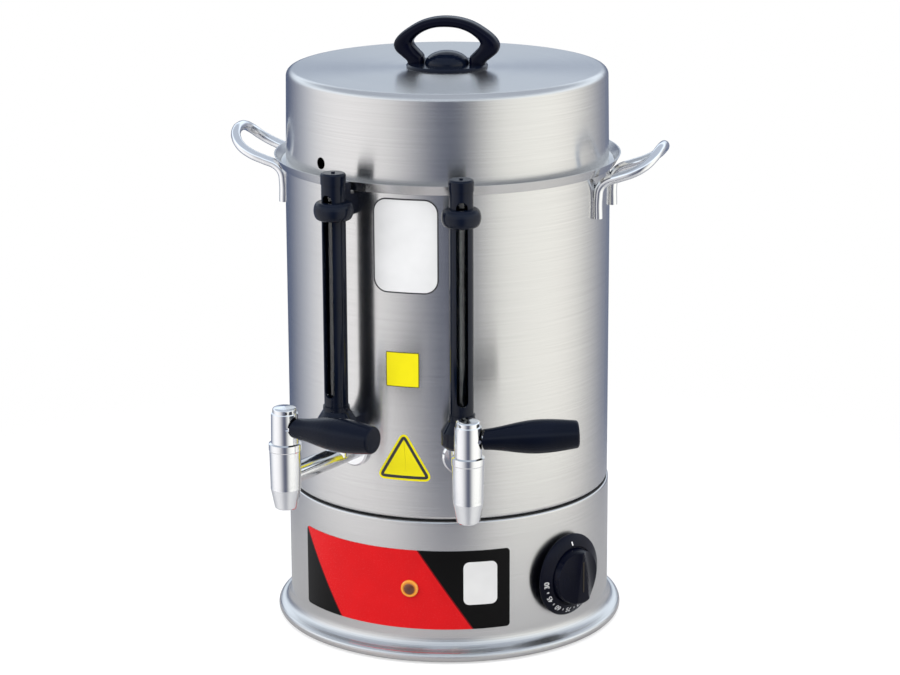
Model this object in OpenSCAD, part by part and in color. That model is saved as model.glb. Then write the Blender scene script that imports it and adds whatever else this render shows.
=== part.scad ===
// Electric tea urn: water tank on a heated base, brew pot under a tall lid,
// two self-closing taps with sight tubes, lift-off strainer and lid.
// Millimetres, +Z up, origin on the axis at the floor, front towards -Y.

/* [Tank] */
// Outer diameter of the tank wall
tank_d = 280; // [264:1:300]
// Height of the tank from its floor to the rim ledge
tank_h = 281; // [270:1:310]
// Sheet thickness of tank and base
sheet = 1.2; // [0.8:0.1:1.6]
// Radius of the corner round the tank floor
tank_corner = 4; // [2:0.5:8]
// Width of the ledge under the rim
rim_step = 4.7; // [4:0.1:7]
// Outward flare of the rim
rim_flare = 4.6; // [3:0.1:7]
// Height of the rim above the ledge
rim_h = 8.2; // [6:0.1:12]

/* [Base] */
// Height of the base from the floor to its deck
base_h = 123; // [117:1:135]
// How far the base wall stands proud of the tank wall
base_proud = 1; // [0.5:0.1:3]
// Height at which the foot starts to flare
foot_h = 22; // [18:1:30]
// Outward spread of the foot before its lip
foot_spread = 7; // [5:0.5:10]
// Diameter of the rolled lip of the foot
lip_d = 9; // [7:0.5:11]
// Gap between the lip and the floor
lip_lift = 1.5; // [1:0.1:3]
// Thickness of the seam ring between base and tank
seam_t = 1.5; // [1:0.1:3]
// Height of the rubber feet
foot_pad_h = 3.8; // [3.2:0.1:6]
// Diameter of the rubber feet
foot_pad_d = 24; // [18:1:30]
// Radius of the circle of rubber feet
foot_pad_r = 118; // [100:1:122]
// Thickness of the base plate
plate_t = 1.2; // [0.8:0.1:2]
// Diameter of the cable gland hole
gland_d = 16; // [12:0.5:20]
// Height of the cable gland
gland_z = 42; // [36:1:60]

/* [Label, lamp and knob] */
// Left edge of the control label, degrees from the front
label_left_az = -45; // [-55:0.5:-30]
// Right edge of the control label, degrees from the front
label_right_az = 36.5; // [25:0.5:37]
// Lower edge of the control label
label_z = 28; // [24:0.5:34]
// Height of the control label
label_h = 70; // [60:0.5:80]
// Thickness of the control label
label_t = 0.4; // [0.2:0.1:0.8]
// Direction of the pilot lamp, degrees from the front
lamp_az = 1.5; // [-10:0.5:10]
// Height of lamp and knob
control_z = 64; // [58:0.5:71]
// Diameter of the lamp bezel
lamp_d = 15.2; // [13:0.1:20]
// Direction of the thermostat knob, degrees from the front
knob_az = 60; // [57:0.5:70]
// Diameter of the knob skirt
knob_d = 72; // [60:0.5:76]
// Diameter of the knob hub
hub_d = 50; // [40:0.5:54]
// Height of the whole knob
knob_h = 22; // [20:0.5:30]
// Diameter of the thermostat spindle
spindle_d = 6; // [5:0.1:8]

/* [Lid] */
// Height of the lid
lid_h = 79.3; // [74:0.1:95]
// Gap between the lid wall and the rim ledge edge
lid_gap = 4.3; // [3.6:0.1:6]
// Inward lean of the lid wall over its height
lid_draft = 1.2; // [0.5:0.1:3]
// Radius of the lid shoulder
lid_shoulder = 6; // [4:0.5:12]
// Sheet thickness of lid, pot and strainer
thin_sheet = 1; // [0.8:0.1:1.4]
// Diameter of the steam vent
vent_d = 10; // [6:0.5:14]
// Direction of the steam vent, degrees from the front
vent_az = -34; // [-60:1:0]
// Height of the steam vent above the lid's edge
vent_h = 14; // [12:1:40]

/* [Lid handle] */
// Width of the handle
grip_w = 91; // [84:1:104]
// Height of the handle above its base disc
grip_h = 40.5; // [38:0.5:50]
// Depth of the handle
grip_t = 19; // [15:0.5:24]
// Width of the finger opening
finger_w = 60; // [54:1:64]
// Height of the finger opening
finger_h = 27; // [24:0.5:30]
// Diameter of the base disc
disc_d = 70; // [66:1:84]
// Thickness of the base disc
disc_t = 3; // [2:0.1:4]
// Diameter of the dome under the handle
dome_d = 38; // [30:1:42]
// Height of the dome
dome_h = 11; // [7:0.5:13]
// Turn of the handle about the vertical
grip_turn = 6; // [-90:1:90]

/* [Side handles] */
// Width of the handle rod
rod_w = 9; // [7:0.1:11]
// Thickness of the handle rod
rod_t = 8; // [6.5:0.1:8.5]
// Distance between the two legs
leg_gap = 58; // [50:1:66]
// Length of a leg along the wall
leg_l = 24; // [18:0.5:30]
// Reach of the handle from the wall
handle_reach = 48.5; // [44:0.5:60]
// Rise of the handle above the horizontal, degrees
handle_rise = 25; // [20:1:30]
// Depth of the bend start below the rim ledge
handle_drop = 13.5; // [12:0.5:20]
// Radius of the rod's bends
rod_bend = 11; // [9:0.5:14]
// Bend radius of the outer corners
corner_bend = 18; // [14:0.5:22]

/* [Taps] */
// Angle of each tap from the front
tap_az = 19; // [17:0.5:24]
// Distance of the tap barrel from the tank wall
tap_reach = 97; // [92:0.5:110]
// Height of the tap pipes above the tank's bottom
pipe_rise = 57.5; // [53:0.5:62]
// Outer diameter of the inlet pipe
pipe_d = 17; // [15:0.5:18]
// Bore of the inlet pipe
pipe_bore_d = 12; // [9:0.5:13]
// Diameter of the washer on the tank wall
washer_d = 29.6; // [26:0.2:32]
// Thickness of the washer on the tank wall
washer_t = 5; // [3:0.5:8]
// Diameter of the upper barrel
barrel_d = 22; // [21:0.1:24]
// Diameter of the collar
collar_d = 26.8; // [26:0.1:30]
// Height of the collar
collar_h = 7; // [5:0.5:9]
// Diameter of the valve chamber's housing
housing_d = 25; // [24.5:0.1:26]
// Diameter of the valve chamber
chamber_d = 19; // [17:0.1:20]
// Height of the valve chamber's housing, from the seat to the collar
housing_h = 30; // [28:0.5:34]
// Height of the upper barrel above the collar
barrel_h = 24.7; // [24:0.1:30]
// Length of the nozzle below the seat
nozzle_l = 19; // [15:0.5:26]
// Diameter of the nozzle mouth's rim
mouth_d = 18.6; // [16:0.1:22]
// Bore of the nozzle
mouth_bore_d = 10; // [8:0.1:11]
// Diameter of the barrel cap
cap_d = 19.6; // [18:0.1:21]
// Height of the barrel cap
cap_h = 5.8; // [5:0.1:9]

/* [Tap levers] */
// Length of the grip
lever_l = 80; // [65:1:95]
// Grip diameter at the root
lever_root_d = 16.6; // [15:0.1:18]
// Largest grip diameter
lever_max_d = 27.6; // [24:0.1:30]
// Grip diameter at the end
lever_end_d = 22.7; // [19:0.1:24]
// Place of the largest diameter, as a share of the grip's length
lever_swell = 0.62; // [0.5:0.01:0.75]
// Upward slope of the grip at rest, degrees
lever_rise = 2; // [0:0.5:4]
// Travel of the lever, degrees
lever_travel = 12; // [8:1:13]
// Distance of the pivot pin from the barrel axis
pin_offset = 8.5; // [8.3:0.1:8.8]
// Diameter of the pivot pin
pin_d = 3; // [2.4:0.1:3.4]
// Diameter of the plunger guide bore
guide_d = 14; // [13:0.1:14.4]
// Diameter of the lever rod
lever_rod_d = 6; // [5:0.1:7]
// Diameter of the spring wire
spring_wire = 1; // [0.7:0.1:1.2]
// Number of spring coils
spring_turns = 4; // [3:1:6]

/* [Sight tubes] */
// Distance of the tube axis from the tank wall
sight_reach = 26; // [24:0.5:32]
// Outer diameter of the guard
guard_d = 20; // [18.4:0.1:21]
// Wall thickness of the guard
guard_t = 2.6; // [2:0.1:3]
// Width of the window in the guard
slot_w = 9.6; // [7:0.1:11]
// Length of guard left closed at each end of the window
slot_margin = 8; // [5:0.5:14]
// Outer diameter of the glass
glass_d = 12.4; // [11:0.1:13]
// Wall thickness of the glass
glass_t = 1.5; // [1:0.1:2]
// Diameter of the holder
holder_d = 35; // [32:0.5:38]
// Height of the holder
holder_h = 28; // [26:0.5:34]
// Length of the pipe stub under the holder
stub_l = 16; // [15:0.5:20]
// Height of the guard's top above the rim ledge
guard_over = 8.5; // [4:0.5:12]
// Height of the tube cap
sight_cap_h = 9.5; // [7:0.5:14]
// Diameter of the clamp ring
clamp_d = 33; // [30:0.5:38]
// Height of the clamp ring
clamp_h = 15; // [11:0.5:16]
// Distance of the clamp ring's middle below the rim ledge
clamp_drop = 13.5; // [12:0.5:18]
// Width of the clamp arm
clamp_arm_w = 12; // [9:0.5:16]

/* [Brew pot and strainer] */
// Outer diameter of the brew pot
pot_d = 210; // [190:1:216]
// Depth of the brew pot
pot_depth = 150; // [130:1:160]
// Width of metal on either side of the water filling openings
fill_land = 6; // [4:0.5:9]
// Gap between the strainer and the brew pot
strainer_gap = 7; // [6:0.5:14]
// Depth of the strainer
strainer_depth = 110; // [80:1:125]
// Diameter of the strainer's holes
strain_hole_d = 5; // [3:0.1:6]
// Height of the strainer's bail
bail_h = 52; // [40:1:58]
// Diameter of the bail wire
bail_d = 4; // [3:0.1:5]
// Outer diameter of the tea pipe
tea_pipe_d = 14; // [13:0.1:16]
// Distance of the tea outlet from the brew pot's wall
outlet_gap = 27; // [21:1:35]
// Bend radius of the tea pipe
tea_bend = 18; // [14:0.5:22]

/* [Heater and switches] */
// Radius of the heating ring
heater_r = 84; // [70:1:95]
// Diameter of the heating tube
heater_d = 8.5; // [7:0.1:10]
// Height of the heating ring above the tank floor
heater_lift = 22; // [16:0.5:24]
// Width of the thermostat body
stat_w = 40; // [34:1:46]
// Height of the thermostat body
stat_h = 36; // [30:1:44]
// Depth of the thermostat body
stat_l = 32; // [26:1:40]
// Diameter of the limit switch
limit_d = 26; // [20:1:32]
// Diameter of the thermostat's bulb
bulb_d = 6; // [5:0.1:8]

/* [Fits] */
// Radial running clearance of turning and sliding fits
run_fit = 0.05; // [0.02:0.01:0.08]
// Radial clearance of holes round fixed parts
hole_fit = 0.1; // [0.05:0.01:0.2]
// Clearance between parts that move past each other
move_gap = 0.4; // [0.3:0.05:0.5]

/* [Hidden] */
$fn = 64;
SIDES = ["tea", "water"];
TAP_NODES = ["tap_body", "lock_nut", "nozzle", "tap_cap", "plunger", "plunger_seal", "spring",
    "lever_arm", "lever_grip", "sight_holder", "sight_glass", "sight_guard", "sight_cap", "sight_clamp"];

STEEL = "#c9cccf";
CHROME = "#e3e6ea";
BLACK = "#16181c";
over = 1;
// Half the length of the cutters for holes through a wall
hole_reach = 10;

// Tank and base heights and radii
tank_r = tank_d / 2;
tank_in_r = tank_r - sheet;
tank_z = base_h + seam_t;
floor_z = tank_z + sheet;
ledge_z = tank_z + tank_h;
ledge_top = ledge_z + sheet;
ledge_r = tank_r + rim_step;
rim_r = ledge_r + rim_flare;
rim_z = ledge_z + rim_h;
base_r = tank_r + base_proud;
base_in_r = base_r - sheet;
seam_chamfer = 0.8;
deck_w = 12;
lip_r = base_r + foot_spread;
lip_top = lip_lift + lip_d;
return_w = 2.5;
flange_z = foot_pad_h + plate_t;
flange_w = 11;
plate_r = lip_r - return_w - sheet - 0.5;
flange_in_r = plate_r - flange_w;

// Pot, strainer and lid
pot_r = pot_d / 2;
outlet_r = pot_r - outlet_gap;
pot_z = ledge_top - pot_depth;
pot_flange_r = ledge_r - sheet - move_gap;
pot_top = ledge_top + thin_sheet;
fill_r = pot_r + fill_land;
fill_w = tank_in_r - pot_r - 2 * fill_land;
fill_count = 3;
fill_sweep = 80;
strainer_r = pot_r - strainer_gap;
strainer_z = pot_top - strainer_depth;
strainer_lip = 10;
strainer_top = pot_top + thin_sheet;
lid_z = pot_top;
lid_r = ledge_r - sheet - lid_gap;
lid_top = lid_z + lid_h;
lid_hem = 3;

// Taps, from the seat upwards
barrel_r = tank_r + tap_reach;
pipe_z = tank_z + pipe_rise;
seat_drop = 7;
seat_z = pipe_z - seat_drop;
collar_z = seat_z + housing_h;
barrel_z = collar_z + collar_h;
barrel_top = barrel_z + barrel_h;
lever_z = barrel_z + 13.5;
tail_r = tank_in_r - 14;
nut_t = 8;
cap_wall = 2;
spigot_h = 3;
window_w = 6.4;
window_h = 12;
finger_h_half = 1.9;
finger_slim = 0.3;
lever_boss_d = 2 * pin_d + 0.6;
leg_seat = 0.6;
bend_overlap = 2;
arm_grow = 0.05;
plunger_lift = pin_offset * lever_travel * PI / 180;
plunger_top = lever_z + lever_boss_d / 2 + over;
plunger_r = guide_d / 2 - run_fit;
seal_t = 2.5;
seal_d = 14.8;
saddle_r = barrel_d / 2 + 2.3;
lever_start = 9;
spring_top = barrel_top + cap_h - cap_wall;

// Sight tubes
sight_r = tank_r + sight_reach;
stub_top = pipe_z + stub_l;
stub_d = 18;
guard_z = stub_top + holder_h;
guard_top = ledge_z + guard_over;
guard_l = guard_top - guard_z;
glass_seat = 2;
glass_bury = 3;
clamp_top = ledge_z - clamp_drop + clamp_h / 2;
clamp_z = clamp_top - clamp_h;
screw_d = 4;
screw_head_d = 8;
screw_head_t = 2.4;

// Thermostat
stat_front = sqrt(base_in_r * base_in_r - stat_w * stat_w / 4);
neck_d = 10.6;
neck_proud = 3.5;
knob_gap = 2.5;
heater_ends = 15;

// Points on an elliptical arc
function arc(cx, cy, rx, ry, a0, a1, n = 10) =
    [for (i = [0:n]) let (a = a0 + (a1 - a0) * i / n) [cx + rx * cos(a), cy + ry * sin(a)]];
// Points on a rounded outline between an ellipse and a rectangle
function rounded_oval(w, h, cy, power = 2.5, n = 48) =
    [for (i = [0:n - 1]) let (a = 360 * i / n, c = cos(a), s = sin(a))
        [w / 2 * sign(c) * pow(abs(c), 2 / power), cy + h / 2 * sign(s) * pow(abs(s), 2 / power)]];
function reversed(list) = [for (i = [len(list) - 1:-1:0]) list[i]];

// Turns a part from the front to a direction, in degrees towards +X
module at_az(az) {
    rotate([0, 0, az]) children();
}
// Puts local +Z outward from the axis, starting at a radius and a height
module outward(r, z) {
    translate([0, -r, z]) rotate([90, 0, 0]) children();
}
module revolve(points) {
    rotate_extrude() polygon(points);
}
// A round rod between two points, with a ball at its far end
module rod(p, q, d) {
    v = q - p;
    l = norm(v);
    translate(p) rotate([0, acos(v.z / l), atan2(v.y, v.x)]) cylinder(d = d, h = l);
    translate(q) sphere(d = 1.2 * d);
}
// A full-height cylinder about the axis, fine enough to fit pieces to a wall
module wall_cylinder(r) {
    cylinder(r = r, h = ledge_z, $fn = 480);
}

// Base

// Outline of the foot at a depth inside the sheet
function foot_path(depth) = concat(
    arc(lip_r, foot_h, foot_spread + depth, foot_h - lip_top + depth, 180, 270),
    arc(lip_r, lip_lift + lip_d / 2, lip_d / 2 - depth, lip_d / 2 - depth, 90, -90));

module base_shell() {
    outer = concat(
        [[base_r - deck_w, base_h], [base_r - seam_chamfer, base_h], [base_r, base_h - seam_chamfer]],
        foot_path(0),
        [[lip_r - return_w, lip_lift], [lip_r - return_w, flange_z], [flange_in_r, flange_z]]);
    inner = concat(
        [[flange_in_r, flange_z + sheet], [lip_r - return_w + sheet, flange_z + sheet],
         [lip_r - return_w + sheet, lip_lift + sheet]],
        reversed(foot_path(sheet)),
        [[base_in_r, base_h - sheet], [base_r - deck_w, base_h - sheet]]);
    color(STEEL) difference() {
        revolve(concat(outer, inner));
        at_az(lamp_az) outward(base_r - hole_reach, control_z) cylinder(d = lamp_d - 4 + 2 * hole_fit, h = 2 * hole_reach);
        at_az(knob_az) outward(base_r - hole_reach, control_z) cylinder(d = neck_d + 2 * hole_fit, h = 2 * hole_reach);
        at_az(180) outward(base_r - hole_reach, gland_z) cylinder(d = gland_d + 2 * hole_fit, h = 2 * hole_reach);
        plate_screw_places() cylinder(d = screw_d, h = flange_z + 2 * sheet);
    }
}

plate_screw_count = 6;
module plate_screw_places() {
    for (i = [0:plate_screw_count - 1])
        rotate([0, 0, 360 * (i + 0.5) / plate_screw_count])
            translate([flange_in_r + flange_w / 2, 0, 0]) children();
}

module foot_places() {
    children();
    for (i = [0:3])
        rotate([0, 0, 45 + 90 * i]) translate([foot_pad_r, 0, 0]) children();
}

vent_slot_r = 60;
vent_slot_w = 5;
vent_slot_l = 60;
foot_peg_d = 7;
module base_plate() {
    color(STEEL) translate([0, 0, foot_pad_h]) difference() {
        cylinder(r = plate_r, h = plate_t);
        plate_screw_places() translate([0, 0, -over]) cylinder(d = screw_d, h = plate_t + 2 * over);
        foot_places() translate([0, 0, -over]) cylinder(d = foot_peg_d, h = plate_t + 2 * over);
        for (side = [-1, 1]) for (i = [-1:1])
            translate([side * vent_slot_r + i * 3 * vent_slot_w - vent_slot_w / 2, -vent_slot_l / 2, -over])
                cube([vent_slot_w, vent_slot_l, plate_t + 2 * over]);
    }
}

foot_peg_h = 2.5;
module base_feet() {
    color(BLACK) foot_places() {
        revolve([[0, 0], [foot_pad_d / 2 - 1.5, 0], [foot_pad_d / 2, 1.5],
            [foot_pad_d / 2, foot_pad_h], [0, foot_pad_h]]);
        translate([0, 0, foot_pad_h - 0.5]) cylinder(d = foot_peg_d, h = plate_t + foot_peg_h + 0.5);
    }
}

plate_screw_l = 8;
module base_plate_screws() {
    color(CHROME) plate_screw_places() translate([0, 0, foot_pad_h - screw_head_t]) {
        cylinder(d = screw_head_d - 1, h = screw_head_t);
        cylinder(d = screw_d, h = screw_head_t + plate_screw_l);
    }
}

module seam_ring() {
    color(BLACK) translate([0, 0, base_h]) difference() {
        cylinder(r = tank_r - seam_chamfer, h = seam_t);
        translate([0, 0, -over]) cylinder(r = base_r - deck_w, h = seam_t + 2 * over);
    }
}

gland_flange = 3;
gland_bore_d = 8;
gland_tail = 10;
gland_barb = 0.8;
module cable_gland() {
    r = gland_d / 2;
    bore = gland_bore_d / 2;
    wall = gland_tail + sheet;
    color(BLACK) at_az(180) outward(base_in_r - gland_tail, gland_z) revolve([
        [bore, 0], [r - 1, 0], [r, 2], [r + gland_barb, gland_tail - 1.5], [r, gland_tail - 1.5], [r, wall],
        [r + gland_flange, wall], [r + gland_flange, wall + gland_flange], [r, wall + 2 * gland_flange],
        [bore + 1.5, wall + 3 * gland_flange], [bore, wall + 3 * gland_flange]]);
}

block_w = 44;
block_l = 20;
block_h = 18;
block_y = 62;
block_ways = 3;
module terminal_block() {
    pitch = block_w / block_ways;
    color("#e8e4d8") translate([-block_w / 2, block_y, flange_z]) difference() {
        cube([block_w, block_l, block_h]);
        for (i = [0:block_ways - 1]) {
            translate([(i + 0.5) * pitch, block_l / 4, block_h - 8]) cylinder(d = 6, h = 10);
            translate([(i + 0.5) * pitch, 3 * block_l / 4, block_h - 8]) cylinder(d = 6, h = 10);
        }
        for (i = [1:block_ways - 1])
            translate([i * pitch - 1, -over, block_h - 5]) cube([2, block_l + 2 * over, 10]);
    }
}

// Label, lamp, thermostat and knob

label_glue = 0.08;
module control_label() {
    color("#d8202a") difference() {
        rotate([0, 0, label_left_az - 90])
            rotate_extrude(angle = label_right_az - label_left_az)
                translate([base_r + label_glue, label_z]) square([label_t, label_h]);
        at_az(lamp_az) outward(base_r - over, control_z) cylinder(d = lamp_d - 4 + 2 * hole_fit, h = 4);
    }
}

lamp_body_l = 26;
lamp_nut_t = 4;
module pilot_lamp_body() {
    color("#e8e4d8") at_az(lamp_az) {
        outward(base_r + label_glue + label_t - lamp_body_l, control_z) cylinder(d = lamp_d - 4, h = lamp_body_l);
        intersection() {
            outward(base_in_r - lamp_nut_t, control_z) cylinder(d = lamp_d + 3, h = lamp_nut_t + over);
            wall_cylinder(base_in_r);
        }
    }
}

lamp_dome = 3;
module pilot_lamp_lens() {
    r = lamp_d / 2;
    color("#e08a10") at_az(lamp_az) outward(base_r + label_glue + label_t, control_z)
        revolve(concat([[0, 0], [r, 0], [r, 1]], [[r - 0.8, 2], [r - 2, 2]],
            arc(0, 1.4, r - 2.2, lamp_dome - 1.4, 10, 90, 6)));
}

module thermostat_body() {
    color("#d9d6cc") at_az(knob_az) difference() {
        union() {
            translate([-stat_w / 2, -stat_front, control_z - stat_h / 2]) cube([stat_w, stat_l, stat_h]);
            outward(stat_front - over, control_z)
                cylinder(d = neck_d, h = base_r + neck_proud - stat_front + over);
        }
        outward(stat_front - stat_l / 2, control_z) cylinder(d = spindle_d + 2 * run_fit, h = stat_l);
    }
}

bulb_l = 76;
bulb_y = 26;
capillary_d = 2.4;
module thermostat_bulb() {
    z = tank_z - bulb_d / 2;
    a = knob_az - 90;
    back = stat_front - stat_l;
    end = [back * cos(a), back * sin(a), control_z + stat_h / 4];
    path = [[bulb_l / 2, bulb_y, z], [bulb_l / 2 + 12, bulb_y - 8, z - 5],
        [end.x * 0.8, end.y * 0.4, control_z + 34], [end.x * 0.9, end.y * 0.9, end.z + 4], end];
    color("#b98a5a") difference() {
        union() {
            translate([-bulb_l / 2, bulb_y, z]) rotate([0, 90, 0]) cylinder(d = bulb_d, h = bulb_l);
            for (i = [0:len(path) - 2]) rod(path[i], path[i + 1], capillary_d);
        }
        at_az(knob_az) translate([-stat_w / 2, -stat_front, control_z - stat_h / 2])
            cube([stat_w, stat_l, stat_h]);
    }
}

limit_h = 13;
limit_x = -52;
module limit_cutout() {
    color("#3a3632") translate([limit_x, 0, tank_z - limit_h]) {
        cylinder(d = limit_d * 0.8, h = limit_h);
        translate([0, 0, limit_h - 4]) cylinder(d = limit_d, h = 4);
        for (s = [-1, 1]) translate([s * limit_d / 5 - 3, -0.5, -7]) cube([6, 1, 7.5]);
    }
}

hub_z = 9;
ridge_base_z = 15;
ridge_w = 13;
ridge_tip_w = 7;
spindle_bury = 18;
module knob() {
    skirt = knob_d / 2;
    hub = hub_d / 2;
    profile = concat(
        [[neck_d / 2 + 2, knob_gap], [skirt - 1, knob_gap], [skirt, knob_gap + 1], [skirt, knob_gap + 2.2]],
        [[skirt - 2.4, hub_z - 1.5], [hub + 1, hub_z - 0.4], [hub, hub_z + 0.6]],
        arc(hub - 4, ridge_base_z - 2.6, 2.6, 2.6, 10, 90, 5),
        [[0, ridge_base_z], [0, neck_proud + 2], [neck_d / 2 + 2, neck_proud + 2]]);
    ridge = [[-ridge_w / 2, -hub + 3], [ridge_w / 2, -hub + 3], [ridge_tip_w / 2, hub - 1.5],
        [-ridge_tip_w / 2, hub - 1.5]];
    color(BLACK) at_az(knob_az) outward(base_r, control_z) difference() {
        union() {
            revolve(profile);
            intersection() {
                translate([0, 0, ridge_base_z - over]) linear_extrude(knob_h - ridge_base_z + over) polygon(ridge);
                translate([0, 0, ridge_base_z - 4]) cylinder(r1 = hub + 3, r2 = hub - 4, h = knob_h);
            }
        }
        cylinder(d = spindle_d, h = spindle_bury);
    }
}

module knob_shaft() {
    depth = base_r - stat_front + stat_l / 2 - 1;
    color(CHROME) at_az(knob_az) outward(base_r - depth, control_z)
        cylinder(d = spindle_d, h = depth + spindle_bury);
}

// Tank and what is in it

module tap_holes() {
    for (side = [-1, 1]) at_az(side * tap_az) {
        outward(tank_r - hole_reach, pipe_z) cylinder(d = pipe_d + 2 * hole_fit, h = 2 * hole_reach);
        outward(tank_r - hole_reach, clamp_z + clamp_h / 2) cylinder(d = screw_d + 2 * hole_fit, h = 2 * hole_reach);
    }
}

module heater_leg_places() {
    for (s = [-1, 1])
        rotate([0, 0, 90 + s * heater_ends]) translate([heater_r, 0, 0]) children();
}

module tank() {
    c = tank_corner;
    section = concat(
        [[0, tank_z]], arc(tank_r - c, tank_z + c, c, c, -90, 0),
        [[tank_r, ledge_z], [ledge_r, ledge_z], [rim_r, rim_z], [rim_r - sheet, rim_z],
         [ledge_r - sheet, ledge_top], [tank_in_r, ledge_top]],
        arc(tank_r - c, tank_z + c, c - sheet, c - sheet, 0, -90), [[0, floor_z]]);
    color(STEEL) difference() {
        revolve(section);
        tap_holes();
        heater_leg_places() translate([0, 0, tank_z - over]) cylinder(d = heater_d + 2 * hole_fit, h = 5);
    }
}

// The pot's rolled wall
module brew_pot() {
    t = thin_sheet;
    color(STEEL) revolve([[pot_r - t, pot_z], [pot_r, pot_z], [pot_r, pot_top], [pot_r - t, pot_top]]);
}

// The pot's flat bottom, welded into the wall
module brew_pot_floor() {
    color(STEEL) translate([0, 0, pot_z]) difference() {
        cylinder(r = pot_r - thin_sheet, h = thin_sheet);
        at_az(-tap_az) translate([0, -outlet_r, -over])
            cylinder(d = tea_pipe_d - 2 * tea_wall, h = thin_sheet + 2 * over);
    }
}

// The ring by which the pot hangs on the rim ledge, with openings to fill the tank
module brew_pot_flange() {
    color(STEEL) difference() {
        translate([0, 0, ledge_top]) cylinder(r = pot_flange_r, h = thin_sheet);
        translate([0, 0, ledge_top - over]) cylinder(r = pot_r, h = thin_sheet + 2 * over);
        for (i = [0:fill_count - 1]) rotate([0, 0, 360 * i / fill_count + 90 - fill_sweep / 2])
            rotate_extrude(angle = fill_sweep) translate([fill_r, ledge_top - over])
                square([fill_w, thin_sheet + 2 * over]);
    }
}

tea_wall = 2;
module tea_pipe_solid(d, extra) {
    translate([0, -outlet_r, pipe_z + tea_bend]) cylinder(d = d, h = pot_z - pipe_z - tea_bend + extra);
    translate([0, -outlet_r - tea_bend, pipe_z + tea_bend]) rotate([-90, 0, 90])
        rotate_extrude(angle = 90) translate([tea_bend, 0]) circle(d = d);
    outward(outlet_r + tea_bend, pipe_z) cylinder(d = d, h = tail_r - outlet_r - tea_bend + extra);
}

module tea_down_pipe() {
    color(STEEL) at_az(-tap_az) difference() {
        tea_pipe_solid(tea_pipe_d, 0);
        tea_pipe_solid(tea_pipe_d - 2 * tea_wall, over);
    }
}

heater_tail = 16;
module heating_element() {
    z = floor_z + heater_lift;
    color("#8f8a86") {
        rotate([0, 0, 90 + heater_ends]) rotate_extrude(angle = 360 - 2 * heater_ends)
            translate([heater_r, z]) circle(d = heater_d);
        heater_leg_places() {
            translate([0, 0, tank_z - heater_tail]) cylinder(d = heater_d, h = z - tank_z + heater_tail);
            translate([0, 0, z]) sphere(d = heater_d);
        }
    }
}

heater_nut_h = 6;
heater_washer_h = 2.5;
module heater_nuts() {
    color("#c2a15a") heater_leg_places() difference() {
        union() {
            translate([0, 0, tank_z - heater_nut_h]) cylinder(d = 2.1 * heater_d, h = heater_nut_h, $fn = 6);
            translate([0, 0, floor_z]) cylinder(d = 2 * heater_d, h = heater_washer_h);
        }
        translate([0, 0, tank_z - heater_nut_h - over])
            cylinder(d = heater_d, h = heater_nut_h + sheet + heater_washer_h + 2 * over);
    }
}

strain_ring_count = 4;
strain_ring_gap = 18;
strain_row_count = 2;
strain_per_row = 20;
strain_row_z = 18;
// The strainer's wall, with a lip that rests on the brew pot
module strainer() {
    r = strainer_r;
    t = thin_sheet;
    lip_out_r = pot_r + strainer_lip / 2;
    color(STEEL) difference() {
        revolve([[r - t, strainer_z], [r, strainer_z], [r, pot_top], [lip_out_r, pot_top],
            [lip_out_r, strainer_top], [r - t, strainer_top]]);
        for (row = [0:strain_row_count - 1]) for (i = [0:strain_per_row - 1])
            at_az(360 * (i + row / 2) / strain_per_row)
                outward(r - t - over, strainer_z + strain_row_z + row * strain_ring_gap)
                    cylinder(d = strain_hole_d, h = t + 2 * over);
    }
}

// The strainer's floor, a flat perforated disc welded into the wall
module strainer_floor() {
    color(STEEL) difference() {
        translate([0, 0, strainer_z]) cylinder(r = strainer_r - thin_sheet, h = thin_sheet);
        for (ring = [1:strain_ring_count]) for (i = [0:6 * ring - 1])
            rotate([0, 0, 60 * i / ring]) translate([ring * strain_ring_gap, 0, strainer_z - over])
                cylinder(d = strain_hole_d, h = thin_sheet + 2 * over);
    }
}

bail_boss_d = 8;
bail_boss_h = 5;
module strainer_bail() {
    half = strainer_r + 2;
    arc_r = (half * half + bail_h * bail_h) / (2 * bail_h);
    sweep = asin(half / arc_r);
    color(CHROME) {
        translate([0, 0, strainer_top + bail_h + bail_boss_h - arc_r]) rotate([90, 0, 0])
            rotate([0, 0, 90 - sweep]) rotate_extrude(angle = 2 * sweep)
                translate([arc_r, 0]) circle(d = bail_d);
        for (s = [-1, 1]) translate([s * half, 0, strainer_top]) {
            cylinder(d = bail_boss_d, h = bail_boss_h);
            translate([0, 0, bail_boss_h]) sphere(d = bail_boss_d);
        }
    }
}

// Lid and its handle

lid_screw_x = 29;
module lid_screw_places() {
    rotate([0, 0, grip_turn]) for (s = [-1, 1]) translate([s * lid_screw_x, 0, 0]) children();
}

// The lid's wall, with a hem below and a rounded shoulder above
module lid() {
    t = thin_sheet;
    c = lid_shoulder;
    top_r = lid_r - lid_draft;
    section = concat(
        [[lid_r - lid_hem, lid_z], [lid_r, lid_z]], arc(top_r - c, lid_top - c, c, c, 0, 90),
        arc(top_r - c, lid_top - c, c - t, c - t, 90, 0),
        [[lid_r - t, lid_z + t], [lid_r - lid_hem, lid_z + t]]);
    color(STEEL) difference() {
        revolve(section);
        at_az(vent_az) outward(lid_r - hole_reach, lid_z + vent_h) cylinder(d = vent_d, h = 2 * hole_reach);
    }
}

// The flat top, welded flush to the shoulder
module lid_top_disc() {
    t = thin_sheet;
    color(STEEL) translate([0, 0, lid_top - t]) difference() {
        cylinder(r = lid_r - lid_draft - lid_shoulder, h = t);
        lid_screw_places() translate([0, 0, -over]) cylinder(d = screw_d, h = t + 2 * over);
    }
}

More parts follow.
